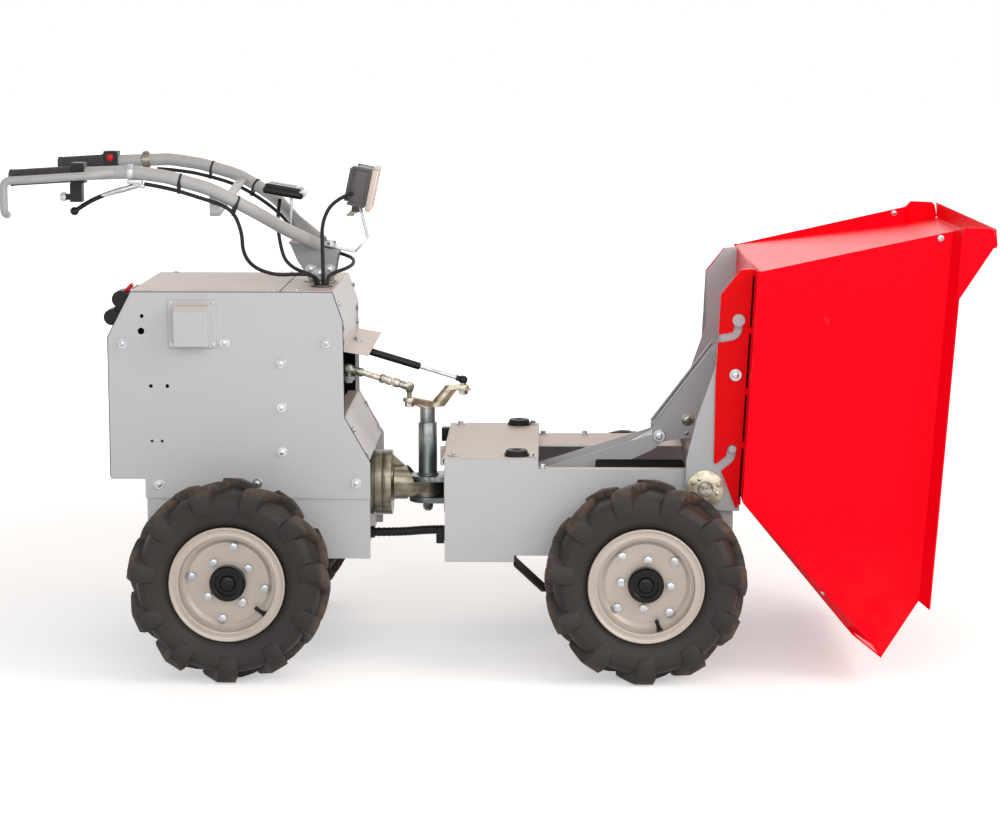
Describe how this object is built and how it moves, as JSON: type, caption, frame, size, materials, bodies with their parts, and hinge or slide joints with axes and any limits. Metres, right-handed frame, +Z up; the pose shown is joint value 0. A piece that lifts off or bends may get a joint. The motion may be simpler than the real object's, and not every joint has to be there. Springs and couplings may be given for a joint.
{
  "type": "articulated site dumper",
  "caption": "Walk-behind articulated site dumper: electric rear body with handlebar, front wheels pair and a front-tipping open skip.",
  "frame": {"origin": "on the ground, under the middle of the machine's length and width with the skip tipped", "axes": "+X forward, towards the skip; +Y to the machine's left; +Z up"},
  "size_m": [1.9777, 0.772, 1.047],
  "materials": {
    "grey_paint": "light grey powder coat",
    "red_paint": "bright red powder coat",
    "yellow_zinc": "yellow zinc plate",
    "zinc": "bright zinc plate",
    "wheel_silver": "silver paint",
    "tyre": "block tread rubber",
    "black_plastic": "black moulded plastic",
    "black_rubber": "black rubber",
    "dark_metal": "dark painted castings",
    "lamp": "grey-black housing"
  },
  "bodies": {
    "rear_chassis": {"rear_axle": "dark_metal", "rear_frame": "grey_paint", "rear_panel_right": "grey_paint", "rear_panel_left": "grey_paint", "rear_back_panel": "grey_paint", "rear_top_lid": "grey_paint", "rear_front_cover": "grey_paint", "rear_front_panel": "grey_paint", "rear_lower_panel": "grey_paint", "battery_pack": "dark_metal", "column_support": "grey_paint", "socket_box": "grey_paint", "main_switch": "black_plastic", "pivot_flange": "yellow_zinc", "pivot_link": "yellow_zinc", "rear_conduit": "black_plastic"},
    "front_frame": {"front_axle": "dark_metal", "front_chassis": "grey_paint", "front_box_lid": "grey_paint", "rest_pads": "black_rubber", "front_yoke": "grey_paint", "steering_arm": "zinc", "skid_guard": "grey_paint", "control_box": "black_plastic", "front_conduit": "black_plastic"},
    "handlebar": {"steering_head": "grey_paint", "handle_right": "grey_paint", "handle_left": "grey_paint", "grip_right": "black_rubber", "grip_left": "black_rubber", "hand_guard": "grey_paint", "throttle_pod": "black_plastic", "brake_lever": "black_plastic", "switch_pod": "black_plastic", "display_unit": "black_plastic", "handle_bridge": "grey_paint", "work_lamp": "lamp", "lamp_bracket": "yellow_zinc", "lamp_cable": "black_rubber", "grip_cable": "black_rubber"},
    "steering_rod": {"steering_rod": "zinc"},
    "steering_strut": {"steering_strut": "black_plastic"},
    "tipping_skip": {"tip_frame": "grey_paint", "skip_shell": "red_paint", "skip_side_right": "red_paint", "skip_side_left": "red_paint", "skip_rail_right": "red_paint", "skip_rail_left": "red_paint"},
    "tip_arm": {"tip_arm": "grey_paint"},
    "tip_lever": {"tip_lever": "grey_paint"},
    "tip_actuator_barrel": {"tip_actuator_barrel": "dark_metal"},
    "tip_actuator_rod": {"tip_actuator_rod": "zinc"},
    "rear_right_wheel": {"rear_right_tyre": "tyre", "rear_right_rim": "wheel_silver"},
    "rear_left_wheel": {"rear_left_tyre": "tyre", "rear_left_rim": "wheel_silver"},
    "front_right_wheel": {"front_right_tyre": "tyre", "front_right_rim": "wheel_silver"},
    "front_left_wheel": {"front_left_tyre": "tyre", "front_left_rim": "wheel_silver"}
  },
  "joints": [
    {"name": "rear_right_wheel_spin", "type": "hinge", "parent": "rear_chassis", "child": "rear_right_wheel", "pos_m": [-0.537, -0.326, 0.205], "axis": [0, 1, 0], "continuous": true},
    {"name": "rear_left_wheel_spin", "type": "hinge", "parent": "rear_chassis", "child": "rear_left_wheel", "pos_m": [-0.537, 0.326, 0.205], "axis": [0, 1, 0], "continuous": true},
    {"name": "front_right_wheel_spin", "type": "hinge", "parent": "front_frame", "child": "front_right_wheel", "pos_m": [0.308, -0.326, 0.205], "axis": [0, 1, 0], "continuous": true},
    {"name": "front_left_wheel_spin", "type": "hinge", "parent": "front_frame", "child": "front_left_wheel", "pos_m": [0.308, 0.326, 0.205], "axis": [0, 1, 0], "continuous": true},
    {"name": "articulation", "type": "hinge", "parent": "rear_chassis", "child": "front_frame", "pos_m": [-0.1485, 0, 0.35], "axis": [0, 0, 1], "range_deg": [-30, 30]},
    {"name": "handlebar_turn", "type": "hinge", "parent": "rear_chassis", "child": "handlebar", "pos_m": [-0.376, 0, 0.7], "axis": [0, 0, 1], "range_deg": [-16.58, 16.58]},
    {"name": "steering_rod_swing", "type": "hinge", "parent": "handlebar", "child": "steering_rod", "pos_m": [-0.311, -0.078, 0.606], "axis": [0, 0, 1], "range_deg": [-31.43, 31.43]},
    {"name": "steering_strut_swing", "type": "hinge", "parent": "rear_chassis", "child": "steering_strut", "pos_m": [-0.298, 0, 0.641], "axis": [0, 0, 1], "range_deg": [-10.1, 10.1]},
    {"name": "tip", "type": "hinge", "parent": "front_frame", "child": "tipping_skip", "pos_m": [0.4315, 0, 0.384], "axis": [0, -1, 0], "range_deg": [0, 92.9]},
    {"name": "tip_arm_swing", "type": "hinge", "parent": "front_frame", "child": "tip_arm", "pos_m": [-0.08, 0, 0.325], "axis": [0, -1, 0], "range_deg": [-12.28, 0]},
    {"name": "tip_lever_swing", "type": "hinge", "parent": "tip_arm", "child": "tip_lever", "pos_m": [0.345, 0, 0.459], "axis": [0, -1, 0], "range_deg": [0, 127.54]},
    {"name": "tip_actuator_swing", "type": "hinge", "parent": "front_frame", "child": "tip_actuator_barrel", "pos_m": [-0.055, 0, 0.248], "axis": [0, -1, 0], "range_deg": [-1.63, 0]},
    {"name": "tip_actuator_stroke", "type": "slide", "parent": "tip_actuator_barrel", "child": "tip_actuator_rod", "axis": [0.8822, 0, 0.4708], "range_m": [-0.1169, 0]}
  ],
  "couplings": [
    {"joint": "handlebar_turn", "follows": "articulation", "ratio": 0.551},
    {"joint": "steering_rod_swing", "follows": "articulation", "ratio": -1.046},
    {"joint": "steering_strut_swing", "follows": "articulation", "ratio": 0.335},
    {"joint": "tip_arm_swing", "follows": "tip", "ratio": -0.1316},
    {"joint": "tip_lever_swing", "follows": "tip", "ratio": 1.3723},
    {"joint": "tip_actuator_swing", "follows": "tip", "ratio": -0.017},
    {"joint": "tip_actuator_stroke", "follows": "tip", "m_per_rad": -0.0715}
  ]
}
